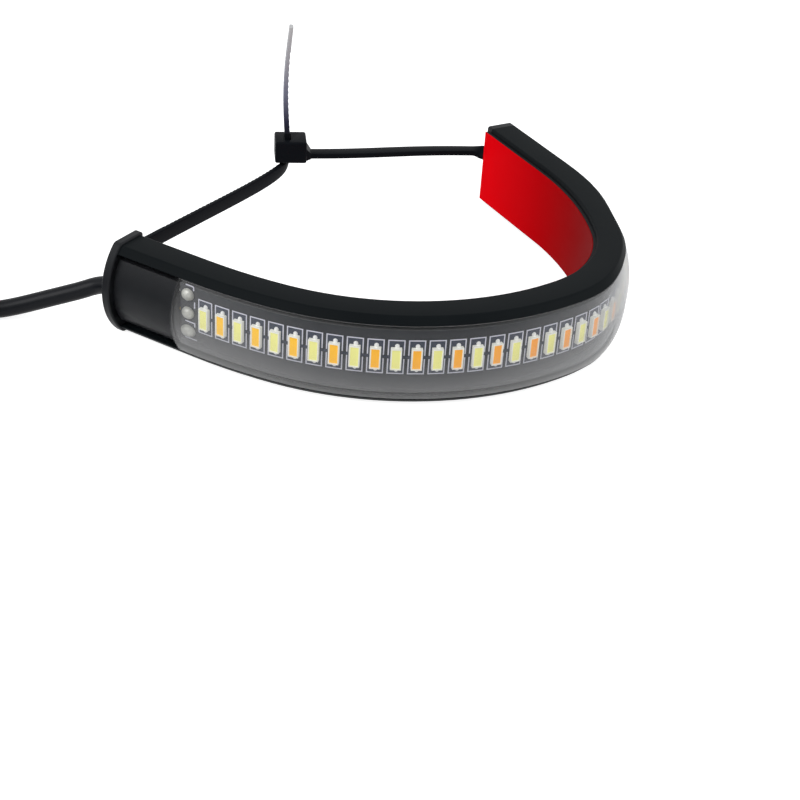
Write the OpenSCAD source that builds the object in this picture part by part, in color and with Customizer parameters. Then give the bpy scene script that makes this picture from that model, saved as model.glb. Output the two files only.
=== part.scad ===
// Flexible daytime running light and turn signal for a motorcycle fork, tied shut as it is fitted.
// A soft D-section strip, bent round into an open loop, with a cable tie threaded through its base.
// Distances along the strip are measured on the face of the circuit board, from the cap's end.

/* [Strip section] */
// Height of the strip, top to bottom
strip_h = 14; // [13:0.5:16]
// Depth of the strip's flat top and bottom, from its back
flat_depth = 4.5; // [4.3:0.1:6]
// Rise of the domed front above the flat top's edge
dome_rise = 3; // [2.6:0.1:3.8]
// Radius between the flat top and the dome
shoulder_r = 0.6; // [0.3:0.1:0.8]
// Radius of the two back edges
back_edge_r = 0.4; // [0.2:0.1:0.6]
// Height of each black lip above and below the lens
lip_h = 1.1; // [0.9:0.05:1.4]
// Thickness of the base behind the circuit board
base_t = 4.2; // [3.9:0.1:4.4]

/* [Strip bends] */
// Length of the straight end beside the cap
near_straight = 13; // [12.5:0.5:18]
// Back radius of the first easy bend
entry_r = 72.5; // [50:0.5:100]
// Turn of the first easy bend in degrees
entry_turn = 10; // [6:1:14]
// Back radius of the long front bend
front_r = 38.2; // [34:0.1:44]
// Turn of the long front bend in degrees
front_turn = 60; // [54:1:66]
// Back radius of the tight side bend
bend_r = 19.5; // [18:0.1:24]
// Turn of the tight side bend in degrees
bend_turn = 56.5; // [50:0.5:62]
// Back radius of the bend towards the far end
back_r = 52; // [44:0.5:60]
// Turn of the bend towards the far end in degrees
back_turn = 24.5; // [20:0.5:28]
// Length of the straight far end
far_straight = 17.5; // [16:0.5:24]

/* [Lens] */
// Wall of the clear lens
lens_wall = 0.8; // [0.6:0.05:0.9]
// Clearance between the lens and each lip
lens_gap = 0.05; // [0.02:0.01:0.1]

/* [Circuit board] */
// Height of the circuit board
board_h = 10; // [9:0.1:10]
// Thickness of the circuit board
board_t = 0.8; // [0.6:0.05:0.8]
// Gap between the board and each end's plug
board_gap = 0.2; // [0.1:0.05:0.5]

/* [Light-emitting diodes] */
// Number of packages, white and amber by turns
led_count = 38; // [20:1:38]
// Place of the first package along the strip
led_first = 15.47; // [15:0.1:17]
// Distance from one package to the next
led_pitch = 2.87; // [2.3:0.01:2.9]
// Length of a package, across the strip
led_h = 3.4; // [2.8:0.1:3.6]
// Width of a package, along the strip
led_w = 1.4; // [1:0.1:1.6]
// Thickness of a package
led_t = 0.7; // [0.5:0.05:0.8]
// Height of the row of packages above the strip's middle
led_rise = 0.6; // [0:0.1:0.8]
// Wall round the window of a package
led_rim = 0.22; // [0.15:0.01:0.3]

/* [Solder joints] */
// Place of the row of solder joints along the strip
joint_place = 13.3; // [13:0.1:13.4]
// Distance between the joints
joint_pitch = 3; // [2.6:0.1:3.1]
// Radius of the ball that each joint is a cap of
joint_r = 0.85; // [0.75:0.05:0.95]
// Depth of the ball's centre below the board's face
joint_sink = 0.3; // [0.2:0.05:0.4]

/* [Cap and far plug] */
// Thickness of the cap's flange
flange_t = 1.35; // [1:0.05:2]
// Overhang of the flange round the strip
flange_lip = 0.35; // [0.2:0.05:0.6]
// Depth of the cap's plug in the strip
plug_len = 10.8; // [10:0.1:11.5]
// Thickness of the flush plate at the far end
far_plate_t = 1.2; // [0.8:0.1:2]
// Depth of the far plug in the strip
far_plug_len = 9.8; // [6:0.1:10]
// Clearance round the plugs
plug_gap = 0.05; // [0.02:0.01:0.1]

/* [Back tape] */
// Height of the foam tape and its liner
tape_h = 12.4; // [10:0.1:13]
// Thickness of the foam tape
tape_t = 0.5; // [0.4:0.05:1]
// Thickness of the release liner
liner_t = 0.12; // [0.08:0.01:0.2]
// Distance from the cap's flange to the tape
tape_start = 2; // [0.5:0.1:6]
// Distance from the tape to the far end
tape_end = 0.3; // [0:0.1:3]

/* [Cable tie] */
// Width of the strap
strap_w = 2.3; // [2:0.1:2.6]
// Thickness of the strap
strap_t = 0.9; // [0.7:0.05:1]
// Depth of the strap's middle in the base
strap_depth = 1.15; // [1.1:0.01:1.2]
// Height of the strap above the strip's middle
strap_rise = 1.3; // [0:0.1:1.8]
// Clearance round the strap in its channel and in the head
strap_gap = 0.15; // [0.1:0.01:0.2]
// Inner bend of the strap where it leaves either end
hook_r = 3.4; // [3:0.1:4.5]
// Length of the head along the strap's root
head_l = 4.8; // [4.2:0.1:5.4]
// Width of the head
head_w = 4.8; // [4.2:0.1:5.4]
// Thickness of the head
head_t = 3.3; // [2.8:0.1:4]
// Height of the root below the head's middle
root_drop = 0.9; // [0.5:0.05:1]
// Distance between the strap's teeth
tooth_pitch = 1; // [0.9:0.1:1.4]
// Depth of the strap's teeth
tooth_depth = 0.22; // [0.1:0.02:0.3]
// Length of the tail above the head
tail_l = 19.5; // [10:0.5:30]

/* [Cable] */
// Diameter of the cable
cable_d = 2.7; // [2.4:0.1:2.8]
// Depth of the cable's middle in the strip
cable_depth = 3.85; // [3.8:0.05:3.9]
// Height of the cable below the strip's middle
cable_drop = 0.6; // [0.2:0.1:0.8]
// Length of the cable inside the cap
cable_in = 5.5; // [4:0.1:6.5]
// Diameter of each of the three cores
core_d = 0.9; // [0.7:0.05:0.95]
// Clearance round the cable and the cores in the plug
cable_gap = 0.05; // [0.02:0.01:0.1]
// Mean diameter of the spare cable's coil
coil_d = 30; // [27:0.1:34]
// Width of the band that holds the coil
band_w = 3; // [2:0.5:5]
// Thickness of the band that holds the coil
band_t = 0.5; // [0.3:0.1:0.8]

/* [Hidden] */
LED_NAMES = [for (i = [1:led_count])
  str(i % 2 == 1 ? "led_white_" : "led_amber_", i < 10 ? "0" : "", i)];

arc_fn = 96;
bore_fn = 48;
// Flats round the dome, and the longest step along a bend
dome_n = 12;
bend_step = 3;
// Where the strip's back starts, which puts the loop's middle over the origin
start_x = -34.85;
start_y = -15.03;
start_heading = -30;
// The strip's bottom is level with the flange's overhang, which rests on the ground
base_z = flange_lip;
mid_z = strip_h / 2;
board_face = base_t + board_t;

// The dome is a circle through the two shoulders and the crown
dome_r = (mid_z * mid_z + dome_rise * dome_rise) / (2 * dome_rise);
dome_x = flat_depth + dome_rise - dome_r;
lens_half = mid_z - lip_h - lens_gap;
cavity_half = lens_half - lens_wall;
lens_inner_r = dome_r - lens_wall;

// The bends in their order: back radius and turn, or zero and length where straight
bends = [
  [0, near_straight],
  [entry_r, entry_turn],
  [front_r, front_turn],
  [bend_r, bend_turn],
  [back_r, back_turn],
  [0, far_straight]];
last_bend = len(bends) - 1;

function bend_len(i) =
  bends[i][0] == 0 ? bends[i][1] : (bends[i][0] + board_face) * bends[i][1] * PI / 180;
function bend_start(i) = i == 0 ? 0 : bend_start(i - 1) + bend_len(i - 1);
// Place and heading of the back after a share of one bend
function along_bend(p, i, share) =
  bends[i][0] == 0
  ? [p[0] + share * bends[i][1] * cos(p[2]), p[1] + share * bends[i][1] * sin(p[2]), p[2]]
  : let (r = bends[i][0], a = p[2] + share * bends[i][1])
    [p[0] - r * sin(p[2]) + r * sin(a), p[1] + r * cos(p[2]) - r * cos(a), a];
function bend_pose(i) =
  i == 0 ? [start_x, start_y, start_heading] : along_bend(bend_pose(i - 1), i - 1, 1);
function bend_of(s, i = 0) = i == last_bend || s < bend_start(i + 1) ? i : bend_of(s, i + 1);
function pose(s) = let (i = bend_of(s)) along_bend(bend_pose(i), i, (s - bend_start(i)) / bend_len(i));
// A point of the strip: distance along it, depth from its back, height from its bottom
function spot(s, depth, h) =
  let (p = pose(s)) [p[0] + depth * sin(p[2]), p[1] - depth * cos(p[2]), h + base_z];
function heading(a) = [cos(a), sin(a), 0];

strip_len = bend_start(last_bend) + far_straight;
housing_len = strip_len - far_plate_t;
board_start = plug_len + board_gap;
board_end = housing_len - far_plug_len - board_gap;

// Puts a shape at a distance along the strip: x is outwards, y along the strip, z up
module at(s) {
  p = pose(s);
  translate([p[0], p[1], base_z]) rotate(p[2] - 90) children();
}

// Distances along the strip at which a swept piece has a section, none of them nearly the same
least_step = 0.01;
function stations(from, to) = concat(
  [from],
  [for (i = [0:last_bend])
    let (n = bends[i][0] == 0 ? 1 : ceil(bend_len(i) / bend_step))
    for (k = [0:n - 1]) let (s = bend_start(i) + bend_len(i) * k / n)
      if (s > from + least_step && s < to - least_step) s],
  [to]);

// The numbers from one to another
function count(from, to) = [for (j = [from:to]) j];
// The same list the other way round
function turned(list) = [for (j = [len(list) - 1:-1:0]) list[j]];

// Faces of a closed skin over m rings of n points each. The lines run through a ring's points,
// right-handed about the path, or the other way round a hole, and convex fills close both ends
function skin_faces(m, n, lines, fills) = concat(
  fills,
  [for (i = [0:m - 2]) for (line = lines) for (j = [0:len(line) - 1])
    let (a = i * n + line[j], b = i * n + line[(j + 1) % len(line)])
    each [[a, a + n, b + n], [a, b + n, b]]],
  [for (fill = fills) [for (j = turned(fill)) (m - 1) * n + j]]);
module skin(rings, lines, fills) {
  n = len(rings[0]);
  whole = [count(0, n - 1)];
  polyhedron([for (r = rings) each r],
    skin_faces(len(rings), n, is_undef(lines) ? whole : lines, is_undef(fills) ? whole : fills),
    convexity = 10);
}

// Sweeps a section from one distance along the strip to another. Its points are depth and height,
// and its lines and fills name them by number, anticlockwise. A convex section needs only points
module sweep(points, from, to, lines, fills) {
  whole = [count(0, len(points) - 1)];
  skin([for (s = stations(from, to)) [for (p = points) spot(s, p[0], p[1])]],
    [for (line = is_undef(lines) ? whole : lines) turned(line)],
    [for (fill = is_undef(fills) ? whole : fills) turned(fill)]);
}

function arc_points(c, r, a0, a1, n) =
  [for (k = [0:n]) let (a = a0 + (a1 - a0) * k / n) c + r * [cos(a), sin(a)]];

// Outline of the strip's section, grown evenly: flat back, flat top and bottom, domed front
edge_n = 3;
shoulder_n = 4;
function outline_points(grow = 0) =
  let (r = shoulder_r + grow,
       h = mid_z + grow - r,
       reach = dome_r + grow - r,
       x = dome_x + sqrt(reach * reach - h * h),
       a = atan2(h, x - dome_x),
       back_x = back_edge_r - grow,
       back_h = mid_z + grow - back_edge_r,
       dome = arc_points([dome_x, mid_z], dome_r + grow, -a, a, dome_n))
  concat(
    arc_points([back_x, mid_z - back_h], back_edge_r, 180, 270, edge_n),
    arc_points([x, mid_z - h], r, -90, -a, shoulder_n),
    [for (k = [1:dome_n - 1]) dome[k]],
    arc_points([x, mid_z + h], r, a, 90, shoulder_n),
    arc_points([back_x, mid_z + back_h], back_edge_r, 90, 180, edge_n));

// A level band of the section, from one depth outwards to a circle about the dome's middle
function band_points(half, depth, r) =
  let (a = asin(half / r))
  concat([[depth, mid_z - half]], arc_points([dome_x, mid_z], r, -a, a, dome_n), [[depth, mid_z + half]]);

function box_points(depth, low, thick, high) =
  [[depth, low], [depth + thick, low], [depth + thick, low + high], [depth, low + high]];

// The channel for the strap in the base
channel_w = strap_w + 2 * strap_gap;
channel_t = strap_t + 2 * strap_gap;
channel_points =
  box_points(strap_depth - channel_t / 2, mid_z + strap_rise - channel_w / 2, channel_t, channel_w);

// The pocket in the base that clears the cable, and the boss of the cap that fills it. It leaves
// a wall in front of the channel, has a margin round the cable, and its cut runs past the base
channel_wall = 0.4;
pocket_margin = 1;
pocket_past = 0.1;
pocket_depth = strap_depth + channel_t / 2 + channel_wall;
pocket_half = cable_d / 2 + cable_drop + pocket_margin;
function pocket_points(gap) =
  box_points(pocket_depth + gap, mid_z - pocket_half + gap,
    base_t - pocket_depth + pocket_past - gap, 2 * (pocket_half - gap));

// Lower half of the housing's section: back edge, foot of the lip, shoulder, tip, root of the lip.
// The upper half mirrors it, and the channel's corners follow
strip_outline = outline_points();
lip_tip = dome_x + sqrt(dome_r * dome_r - (mid_z - lip_h) * (mid_z - lip_h));
lower_half = concat(
  [for (j = [0:edge_n]) strip_outline[j]],
  [[base_t, 0]],
  [for (j = [edge_n + 1:edge_n + 1 + shoulder_n]) strip_outline[j]],
  [[lip_tip, lip_h], [base_t, lip_h]]);
housing_points = concat(
  lower_half, [for (p = turned(lower_half)) [p[0], strip_h - p[1]]], channel_points);
lip_foot = edge_n + 1;
lip_root = len(lower_half) - 1;
upper_root = lip_root + 1;
upper_foot = 2 * lip_root + 1 - lip_foot;
last_edge = 2 * lip_root + 1;
hole = last_edge + 1;
housing_lines = [count(0, last_edge), turned(count(hole, hole + 3))];
housing_fills = [
  count(lip_foot, lip_root),
  count(upper_root, upper_foot),
  concat([hole], count(0, lip_foot), [lip_root, hole + 1]),
  [hole + 1, lip_root, upper_root, hole + 2],
  concat([hole + 2, upper_root], count(upper_foot, last_edge), [hole + 3]),
  [hole + 3, last_edge, 0, hole]];

// Soft black body of the strip: base, two lips, channel for the strap, pocket for the cap's boss
module housing() {
  color([0.11, 0.12, 0.13]) difference() {
    sweep(housing_points, 0, housing_len, housing_lines, housing_fills);
    at(plug_len + plug_gap) rotate([90, 0, 0]) linear_extrude(plug_len + plug_gap + 1)
      polygon(pocket_points(0));
  }
}

// Clear domed lens between the lips: an arch of even wall, open towards the base
module lens() {
  n = dome_n + 3;
  color([0.75, 0.77, 0.8, 0.4]) sweep(
    concat(band_points(lens_half, base_t, dome_r), band_points(cavity_half, base_t, lens_inner_r)),
    0, housing_len,
    [concat(count(0, n - 1), turned(count(n, 2 * n - 1)))],
    [for (j = [0:n - 2]) [j, j + 1, n + j + 1, n + j]]);
}

// Flexible circuit board on the base, inside the lens
module pcb() {
  color([0.3, 0.32, 0.36])
    sweep(box_points(base_t, mid_z - board_h / 2, board_t, board_h), board_start, board_end);
}

// One package: a white frame with a sunk window
module led(i) {
  well = led_t / 3;
  color(i % 2 == 0 ? [0.95, 0.95, 0.65] : [0.98, 0.75, 0.25])
    at(led_first + i * led_pitch) translate([board_face, 0, mid_z + led_rise]) difference() {
      translate([0, -led_w / 2, -led_h / 2]) cube([led_t, led_w, led_h]);
      translate([led_t - well, led_rim - led_w / 2, 2 * led_rim - led_h / 2])
        cube([led_t, led_w - 2 * led_rim, led_h - 4 * led_rim]);
    }
}

// Height of one joint, core or lead in its row of three, from the top
function joint_h(i) = mid_z + led_rise + (1 - i) * joint_pitch;
core_rest = board_face + core_d / 2;
core_spread = 0.68 * core_d;

// The path of one core: out of the cable, across to its joint's height, along the board
function core_path(i) = [
  [cable_depth + core_spread * cos(90 - 120 * i), cable_in + core_d / 3,
   mid_z - cable_drop + core_spread * sin(90 - 120 * i)],
  [core_rest, board_start - 0.1, joint_h(i)],
  [core_rest, joint_place - 0.3, joint_h(i)]];

// A round bar between two points, and past them where it is a cut
module bar(a, b, r, past = 0) {
  d = b - a;
  translate(a) rotate([0, acos(d[2] / norm(d)), atan2(d[1], d[0])])
    translate([0, 0, -past]) cylinder(r = r, h = norm(d) + 2 * past, $fn = bore_fn);
}

// One core of the cable, from the cable's end to its solder joint
module core(i) {
  color([[0.9, 0.9, 0.88], [0.95, 0.8, 0.2], [0.1, 0.1, 0.1]][i])
    tube([for (p = core_path(i)) spot(p[1], p[0], p[2])], core_d / 2);
}

// One solder joint, a low dome on the board round the core's end
module solder(i) {
  p = core_path(i);
  color([0.78, 0.78, 0.74]) at(0) difference() {
    translate([board_face - joint_sink, joint_place, joint_h(i)]) sphere(r = joint_r, $fn = bore_fn);
    translate([board_face - 2 * joint_r, joint_place - joint_r - 1, joint_h(i) - joint_r - 1])
      cube([2 * joint_r, 2 * joint_r + 2, 2 * joint_r + 2]);
    bar(p[1], p[2], core_d / 2);
  }
}

// Black cap on the cable's end: flange over the strip's end, and a plug inside it
module end_cap() {
  plug_back = plug_len + flange_t / 2;
  color([0.07, 0.07, 0.08]) difference() {
    union() {
      at(0) rotate([90, 0, 0]) linear_extrude(flange_t) polygon(outline_points(flange_lip));
      at(plug_len) rotate([90, 0, 0]) linear_extrude(plug_back)
        polygon(band_points(cavity_half - plug_gap, base_t, lens_inner_r - plug_gap));
      at(plug_len) rotate([90, 0, 0]) linear_extrude(plug_back) polygon(pocket_points(plug_gap));
    }
    at(1) rotate([90, 0, 0]) linear_extrude(flange_t + 2) polygon(channel_points);
    at(-flange_t - 1) translate([cable_depth, 0, mid_z - cable_drop]) rotate([-90, 0, 0])
      cylinder(d = cable_d + 2 * cable_gap, h = flange_t + 1 + cable_in + core_d / 3, $fn = bore_fn);
    at(0) for (i = [0:2])
      bar(core_path(i)[0], core_path(i)[1], core_d / 2 + cable_gap, past = 0.4);
  }
}

// Black plug at the far end, its plate level with the strip's outside
module end_plug() {
  color([0.07, 0.07, 0.08]) difference() {
    union() {
      at(strip_len) rotate([90, 0, 0]) linear_extrude(far_plate_t) polygon(outline_points());
      at(housing_len + far_plate_t / 2) rotate([90, 0, 0]) linear_extrude(far_plug_len + far_plate_t / 2)
        polygon(band_points(cavity_half - plug_gap, base_t, lens_inner_r - plug_gap));
    }
    at(strip_len + 1) rotate([90, 0, 0]) linear_extrude(far_plate_t + 2) polygon(channel_points);
  }
}

// Adhesive foam on the back
module foam_tape() {
  color([0.15, 0.15, 0.16])
    sweep(box_points(-tape_t, mid_z - tape_h / 2, tape_t, tape_h), tape_start, strip_len - tape_end);
}

// Red release liner over the foam
module liner() {
  color([0.9, 0.03, 0.06])
    sweep(box_points(-tape_t - liner_t, mid_z - tape_h / 2, liner_t, tape_h),
      tape_start, strip_len - tape_end);
}

function unit(v) = v / norm(v);
function tangent(path, i) = unit(path[min(i + 1, len(path) - 1)] - path[max(i - 1, 0)]);
function mix(a, b, t) = a + (b - a) * t;
// Distances along a path at its points, and the same path with even steps
function lengths(p) =
  [for (i = 0, s = 0; i < len(p); s = i + 1 < len(p) ? s + norm(p[i + 1] - p[i]) : s, i = i + 1) s];
function even(p, step) =
  let (at = lengths(p), all = at[len(p) - 1], n = round(all / step))
  [for (k = [0:n]) [for (c = [0:2]) lookup(all * k / n, [for (i = [0:len(p) - 1]) [at[i], p[i][c]]])]];
function smooth(t) = let (u = max(0, min(1, t))) u * u * (3 - 2 * u);

// The tie's path. A station is a place, the way the strap's width points, width and two half depths
strap_h = mid_z + strap_rise;
head_h = 11.05;
root_heading = 8;
head_x = -16.93;
head_y = 24.77;
head_place = [head_x, head_y, head_h + base_z];
root_way = heading(root_heading);
across_way = heading(root_heading + 90);
down = [0, 0, -1];

far_exit = spot(strip_len, strap_depth, strap_h);
far_heading = pose(strip_len)[2];
near_exit = spot(-flange_t, strap_depth, strap_h);
near_heading = start_heading + 180;

// A level hook from a place and heading, turning by an angle, as places along its middle
function hook(p, a, turn, n) =
  let (side = turn > 0 ? 1 : -1, c = p + hook_r * heading(a + 90 * side))
  [for (k = [0:n]) c + hook_r * heading(a - 90 * side + turn * k / n)];

// The root runs from the head to the far hook, lying flat, and turns on edge near the strip
far_turn = 66;
far_hook = hook(far_exit, far_heading, far_turn, 6);
root_start = head_place + (head_l / 2) * root_way + root_drop * down;
root_end = far_hook[6];
root_pull = 12;
root_step = 2.5;
curve_n = 80;
function curve(a, b, c, d) =
  [for (k = [0:curve_n]) let (t = k / curve_n, u = 1 - t)
    u * u * u * a + 3 * t * u * u * b + 3 * t * t * u * c + t * t * t * d];
root_path = even(curve(
  root_start, root_start + root_pull * root_way,
  root_end + root_pull * heading(far_heading + far_turn), root_end), root_step);
root_n = len(root_path) - 1;

// The channel's stretch follows the strip from its far end to its cap
channel_stations = stations(-flange_t, strip_len);
channel_n = len(channel_stations) - 1;
channel_path = [for (k = [channel_n - 1:-1:0]) spot(channel_stations[k], strap_depth, strap_h)];

// The near hook turns back beside the cap, and the strap runs on towards the head
near_turn = -90;
near_hook = hook(near_exit, near_heading, near_turn, 6);
near_end = near_hook[6];
slot_shift = -0.25;
slot_place = head_place + slot_shift * root_way;
slot_low = slot_place + (head_t / 2 + 0.2) * down;
left_pull = 24;
left_dip = -0.4;
rise_pull = 2.2;
left_curve = even(curve(
  near_end, near_end + left_pull * heading(near_heading + near_turn) + left_dip * down,
  slot_low + rise_pull * down, slot_low), tooth_pitch);
left_n = len(left_curve) - 1;
left_path = [for (k = [1:left_n]) left_curve[k]];

// The tail runs up through the head and bows a little
tail_n = floor(tail_l / tooth_pitch);
tail_bow = 0.55;
tail_path = [for (k = [1:tail_n + 4])
  let (z = k * (tail_l + head_t + 0.4) / (tail_n + 4), u = max(0, z - head_t) / tail_l)
  slot_low + [-tail_bow * sin(180 * u) + 0.15 * u, 0, z]];

tie_path = concat(
  [for (k = [0:root_n - 1]) root_path[k]], [for (k = [6:-1:0]) far_hook[k]],
  channel_path, [for (k = [1:6]) near_hook[k]], left_path, tail_path);
root_last = root_n + 6;
left_first = root_n + 7 + channel_n + 6;
tail_first = left_first + left_n;
tie_n = len(tie_path);

// The width points across the head at both ends of the loop, and down in between
function width_way(i) =
  let (t = tangent(tie_path, i),
       turned = i < root_last ? smooth((i - root_n + 2) / (root_last - root_n + 2))
         : 1 - smooth((i - left_first) / left_n),
       w = mix(across_way, down, turned))
  unit(w - (w * t) * t);
// The tail narrows and thins towards its tip, from just above the head
tail_start = 5;
tip_narrow = 0.35;
tip_thin = 0.3;
function tail_share(i) =
  max(0, min(1, (i - tail_first - tail_start) / (tie_n - 1 - tail_start - tail_first)));
function strap_ring(i, shift, notch) =
  let (t = tangent(tie_path, i), w = width_way(i), d = cross(t, w),
       half = strap_w / 2 * (1 - tip_narrow * tail_share(i)),
       up = strap_t / 2 * (1 - tip_thin * tail_share(i)),
       low = up - notch, p = tie_path[i] + shift * t)
  [p - half * w - low * d, p + half * w - low * d, p + half * w + up * d, p - half * w + up * d];
// Teeth start a little way along the left stretch, and stop short of the tip
teeth_first = left_first + 8;
teeth_last = tie_n - tail_start;
strap_rings = [for (i = [0:tie_n - 1])
  each i < teeth_first || i > teeth_last
    ? [strap_ring(i, 0, 0)]
    : [strap_ring(i, -0.2, 0), strap_ring(i, 0.15, tooth_depth)]];

// The head: a rounded block with a slot for the strap, a pawl, and a neck to the root
module tie_head() {
  neck = 1.3;
  slot_l = strap_t + 2 * strap_gap;
  slot_w = strap_w + 2 * strap_gap;
  translate(head_place) rotate(root_heading) difference() {
    intersection() {
      translate([-head_l / 2, -head_w / 2, -head_t / 2]) cube([head_l + neck, head_w, head_t]);
      rotate([90, 0, 0]) translate([0, 0, -head_w]) linear_extrude(2 * head_w) polygon([
        [-head_l / 2, 0.5 - head_t / 2], [0.5 - head_l / 2, -head_t / 2],
        [head_l / 2 - 0.6, -head_t / 2], [head_l / 2 + neck, -root_drop - strap_t / 2],
        [head_l / 2 + neck, strap_t / 2 - root_drop], [head_l / 2 - 0.9, head_t / 2],
        [0.5 - head_l / 2, head_t / 2], [-head_l / 2, head_t / 2 - 0.5]]);
      linear_extrude(2 * head_t, center = true) polygon([
        [-head_l / 2, 0.5 - head_w / 2], [0.5 - head_l / 2, -head_w / 2],
        [head_l / 2 - 0.5, -head_w / 2], [head_l / 2 + neck, -strap_w / 2],
        [head_l / 2 + neck, strap_w / 2], [head_l / 2 - 0.5, head_w / 2],
        [0.5 - head_l / 2, head_w / 2], [-head_l / 2, head_w / 2 - 0.5]]);
    }
    translate([slot_shift - slot_l / 2, -slot_w / 2, -head_t]) cube([slot_l, slot_w, 2 * head_t]);
    translate([slot_shift + slot_l / 2 - 0.1, -slot_w / 2, 0.3]) cube([0.7, slot_w, head_t]);
  }
}

// Nylon cable tie in one piece: head, strap through the strip's base, tail through the head
module cable_tie() {
  color([0.08, 0.08, 0.09]) {
    tie_head();
    skin(strap_rings);
  }
}

// The cable's route on the ground, from the cap to its coil
cable_r = cable_d / 2;
cable_exit = spot(-flange_t, cable_depth, mid_z - cable_drop);
coil_centre = [-75, -36];
// Turns side by side in the coil, and on each other
coil_rows = 3;
coil_half = coil_rows * cable_r;
coil_out_r = coil_d / 2 + coil_half;
coil_in_r = coil_d / 2 - coil_half;
cable_route = [
  cable_exit,
  [-39.9, -16.8, 6.5],
  [-41.7, -16.2, 5.9],
  [-44.3, -16.3, 4.9],
  [-48.9, -16.6, 3.4],
  [-53.3, -17.1, 2.1],
  [-56.5, -17.6, 1.5],
  [-60.5, -18.1, 1.35],
  [-64.5, -18.3, 1.35]];

// Rings of a round tube along a route, with eight sides
tube_sides = 8;
function tube_ring(path, i, r) =
  let (t = tangent(path, i), w = unit(cross(t, [0, 0, 1])), d = cross(t, w))
  [for (k = [0:tube_sides - 1])
    let (a = (k + 0.5) * 360 / tube_sides) path[i] + r * cos(a) * w + r * sin(a) * d];
// Places between a route's points, on one smooth curve through them all
function between(p, i, t) =
  let (a = p[max(i - 1, 0)], b = p[i], c = p[i + 1], d = p[min(i + 2, len(p) - 1)])
  0.5 * (2 * b + (c - a) * t + (2 * a - 5 * b + 4 * c - d) * t * t + (3 * b - a - 3 * c + d) * t * t * t);
function smooth_route(p) = concat(
  [for (i = [0:len(p) - 2]) for (t = [0, 0.5]) between(p, i, t)], [p[len(p) - 1]]);
module tube(path, r) skin([for (i = [0:len(path) - 1]) tube_ring(path, i, r)]);

// The end of the cable that lies inside the cap
module cable_in_cap() {
  color([0.06, 0.06, 0.07]) at(-flange_t) translate([cable_depth, 0, mid_z - cable_drop])
    rotate([-90, 0, 0]) cylinder(d = cable_d, h = flange_t + cable_in, $fn = bore_fn);
}

// The round cable from the cap to the coil
module cable() {
  color([0.06, 0.06, 0.07]) tube(smooth_route(cable_route), cable_r);
}

// The spare cable, wound into a coil: the outer shape of its turns
module cable_coil() {
  color([0.06, 0.06, 0.07]) translate([coil_centre[0], coil_centre[1], 0]) difference() {
    rotate_extrude($fn = arc_fn) translate([coil_in_r, 0]) square(2 * coil_half);
    band_shape();
  }
}

// The band round the coil, at the side away from where the cable comes in
module band_shape() {
  rotate(-90) translate([0, -band_w / 2, 0]) difference() {
    translate([coil_in_r - band_t, 0, 0])
      cube([2 * (coil_half + band_t), band_w, 2 * coil_half + band_t]);
    translate([coil_in_r, -1, band_t]) cube([2 * coil_half, band_w + 2, 2 * coil_half - band_t]);
  }
}
module coil_band() {
  color([0.1, 0.1, 0.1]) translate([coil_centre[0], coil_centre[1], 0]) band_shape();
}

// The cable is wound anticlockwise. Its last part comes down inside the coil, and its leads lie there
end_r = coil_in_r - cable_r - 0.15;
end_from = -60;
end_turn = 150;
function inside_coil(r, a, z) = [coil_centre[0] + r * cos(a), coil_centre[1] + r * sin(a), z];
end_path = [for (k = [0:12])
  inside_coil(end_r, end_from + end_turn * k / 12,
    mix(2 * coil_half - cable_r, cable_r, smooth(k / 10)))];
module cable_end() {
  color([0.06, 0.06, 0.07]) tube(end_path, cable_r);
}

// One bare lead: it leaves the cable's end and fans inwards, down to the ground
module lead(i) {
  a = end_from + end_turn;
  spread = [0.62, 0, -0.62][i];
  high = [0.31, 0.93, 0.31][i];
  sweep_turn = [140, 150, 125][i];
  inset = [0.2, -2.2, -3.4][i];
  r0 = end_r + spread;
  color([[0.9, 0.9, 0.88], [0.95, 0.8, 0.2], [0.1, 0.1, 0.1]][i])
    tube([for (k = [0:14]) let (u = k / 14)
      inside_coil(r0 + inset * smooth(1.6 * u), a + sweep_turn * u,
        mix(cable_r - 0.3 + high * 0.6, core_d / 2, smooth(4 * u)))], core_d / 2);
}

housing();
lens();
pcb();
for (i = [0:led_count - 1]) led(i);
solder(0);  // solder_left_top
solder(1);  // solder_left_middle
solder(2);  // solder_left_bottom
core(0);  // core_white
core(1);  // core_yellow
core(2);  // core_black
end_cap();
end_plug();
foam_tape();
liner();
cable_tie();
cable_in_cap();
cable();
cable_coil();
cable_end();
coil_band();
lead(0);  // lead_white
lead(1);  // lead_yellow
lead(2);  // lead_black
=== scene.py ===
import math

import bpy
from mathutils import Matrix, Vector


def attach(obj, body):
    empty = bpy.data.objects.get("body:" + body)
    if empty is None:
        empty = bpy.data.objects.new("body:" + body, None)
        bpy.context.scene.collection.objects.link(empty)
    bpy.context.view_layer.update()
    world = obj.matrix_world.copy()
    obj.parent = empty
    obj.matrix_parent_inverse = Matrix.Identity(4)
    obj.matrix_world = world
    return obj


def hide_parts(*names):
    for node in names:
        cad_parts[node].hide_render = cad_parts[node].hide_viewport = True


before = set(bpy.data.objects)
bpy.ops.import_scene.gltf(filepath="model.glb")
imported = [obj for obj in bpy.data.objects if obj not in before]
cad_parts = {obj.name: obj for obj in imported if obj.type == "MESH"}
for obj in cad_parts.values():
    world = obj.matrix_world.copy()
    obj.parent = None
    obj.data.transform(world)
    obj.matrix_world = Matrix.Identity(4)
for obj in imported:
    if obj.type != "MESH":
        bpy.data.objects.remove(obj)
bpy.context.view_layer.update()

# A flexible daytime running light, closed by its tie, with its cable and coil. Blender works in
# metres, and the lengths named here are in millimetres, in the CAD part's own frame.
mm = 0.001

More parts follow.
